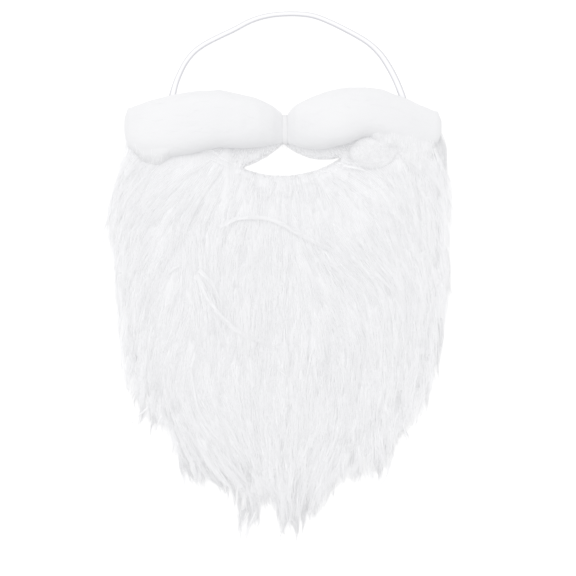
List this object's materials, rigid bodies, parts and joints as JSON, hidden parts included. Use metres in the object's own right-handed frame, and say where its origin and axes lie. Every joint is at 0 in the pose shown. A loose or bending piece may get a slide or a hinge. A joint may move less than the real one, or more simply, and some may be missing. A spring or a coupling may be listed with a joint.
{
  "type": "fake beard",
  "caption": "Costume beard of long white pile on a knitted backing with a mouth opening, a wadding moustache tied at its middle, and an elastic for the head.",
  "frame": {"origin": "on the underside of the backing, on the moustache tie's centre plane, 117 mm below the top of the mouth opening", "axes": "+Z out of the pile, away from the face that wears it; +Y up the face, from the beard's tip to the moustache; +X to the right of a viewer who looks at the pile"},
  "size_m": [0.2635, 0.402, 0.0337],
  "materials": {
    "backing_knit": "matt warp-knitted polyester backing",
    "long_pile": "soft wavy white fibre pile with a slight sheen",
    "wadding": "matt fluffy white wadding",
    "tie_thread": "wound white thread",
    "elastic_braid": "flat white braided elastic with fine ribs along it"
  },
  "bodies": {
    "root": {"backing_cloth": "backing_knit", "beard_pile": "long_pile", "moustache": "wadding", "centre_tie": "tie_thread", "elastic_band": "elastic_braid"}
  },
  "joints": []
}
